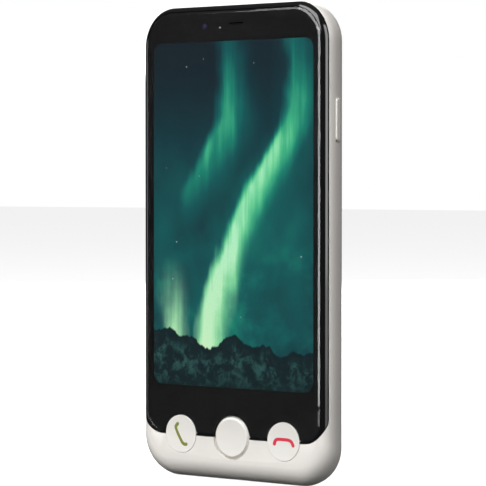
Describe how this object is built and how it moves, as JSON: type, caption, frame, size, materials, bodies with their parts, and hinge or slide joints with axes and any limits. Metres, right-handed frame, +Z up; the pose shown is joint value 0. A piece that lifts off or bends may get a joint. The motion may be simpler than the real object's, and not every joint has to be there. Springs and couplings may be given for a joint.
{
  "type": "smartphone with tactile keys",
  "caption": "Flat handheld phone: glass touch screen, pale shell whose chin wraps onto the front, round call, home and end keys below the screen, power and volume keys on the sides.",
  "frame": {"origin": "centre of the bounding box's bottom, where the upright phone stands on its lower end", "axes": "+X to the right of someone facing the screen, +Y from the screen to the back, +Z up towards the earpiece"},
  "size_m": [0.0746, 0.0106, 0.1519],
  "materials": {
    "shell_ivory": "fine matt moulded texture, warm off-white",
    "key_ivory": "smooth satin, warm off-white",
    "frame_black": "glossy black",
    "cover_glass": "clear polished glass over a black border",
    "camera_glass": "coated lens glass",
    "display": "lit colour screen",
    "magnesium": "cast, matt",
    "bright_steel": "stamped sheet, satin",
    "screw_steel": "machined, dark satin",
    "silicone": "matt translucent grey",
    "circuit_board": "green solder mask",
    "battery_wrap": "pouch cell in a dark satin wrap",
    "flex_lead": "amber film",
    "acoustic_mesh": "woven fine black mesh",
    "clear_plastic": "milky clear"
  },
  "bodies": {
    "phone_body": {"shell": "shell_ivory", "rear_cover": "shell_ivory", "display_frame": "frame_black", "cover_glass": "cover_glass", "midframe": "magnesium", "display_panel": "display", "backlight_tray": "bright_steel", "key_mat": "silicone", "call_dome": "bright_steel", "home_dome": "bright_steel", "end_dome": "bright_steel", "power_switch": "bright_steel", "volume_down_switch": "bright_steel", "volume_up_switch": "bright_steel", "assist_switch": "bright_steel", "main_board": "circuit_board", "sub_board": "circuit_board", "battery": "battery_wrap", "battery_connector": "frame_black", "shield_can_left": "bright_steel", "shield_can_right": "bright_steel", "board_flex": "flex_lead", "display_flex": "flex_lead", "antenna_bracket": "frame_black", "rear_camera": "frame_black", "camera_bezel": "bright_steel", "camera_lens": "camera_glass", "flash_led": "clear_plastic", "flash_window": "clear_plastic", "front_camera": "frame_black", "proximity_sensor": "frame_black", "earpiece": "frame_black", "earpiece_mesh": "acoustic_mesh", "loudspeaker": "frame_black", "speaker_mesh": "acoustic_mesh", "microphone": "bright_steel", "vibration_motor": "bright_steel", "usb_port": "bright_steel", "audio_jack": "frame_black", "sim_socket": "bright_steel", "main_board_screw_1": "screw_steel", "main_board_screw_2": "screw_steel", "main_board_screw_3": "screw_steel", "main_board_screw_4": "screw_steel", "midframe_screw_1": "screw_steel", "midframe_screw_2": "screw_steel", "sub_board_screw_1": "screw_steel", "sub_board_screw_2": "screw_steel"},
    "call_key_body": {"call_key": "key_ivory"},
    "home_key_body": {"home_key": "key_ivory"},
    "end_key_body": {"end_key": "key_ivory"},
    "power_key_body": {"power_key": "key_ivory"},
    "volume_rocker_body": {"volume_rocker": "key_ivory"},
    "assist_key_body": {"assist_key": "key_ivory"},
    "sim_tray_body": {"sim_tray": "key_ivory"}
  },
  "joints": [
    {"name": "call_key_press", "type": "slide", "parent": "phone_body", "child": "call_key_body", "axis": [0, 1, 0], "range_m": [0, 0.0004], "stiffness_N_per_m": 1200},
    {"name": "home_key_press", "type": "slide", "parent": "phone_body", "child": "home_key_body", "axis": [0, 1, 0], "range_m": [0, 0.0004], "stiffness_N_per_m": 1200},
    {"name": "end_key_press", "type": "slide", "parent": "phone_body", "child": "end_key_body", "axis": [0, 1, 0], "range_m": [0, 0.0004], "stiffness_N_per_m": 1200},
    {"name": "power_key_press", "type": "slide", "parent": "phone_body", "child": "power_key_body", "axis": [-1, 0, 0], "range_m": [0, 0.0004], "stiffness_N_per_m": 1200},
    {"name": "assist_key_press", "type": "slide", "parent": "phone_body", "child": "assist_key_body", "axis": [0, -1, 0], "range_m": [0, 0.0004], "stiffness_N_per_m": 1200},
    {"name": "volume_rocker_tilt", "type": "hinge", "parent": "phone_body", "child": "volume_rocker_body", "pos_m": [-0.0347, 0.0004, 0.1175], "axis": [0, 1, 0], "range_deg": [-1.5, 1.5], "stiffness_Nm_per_rad": 0.1},
    {"name": "sim_tray_slide", "type": "slide", "parent": "phone_body", "child": "sim_tray_body", "axis": [-1, 0, 0], "range_m": [0, 0.016]}
  ]
}
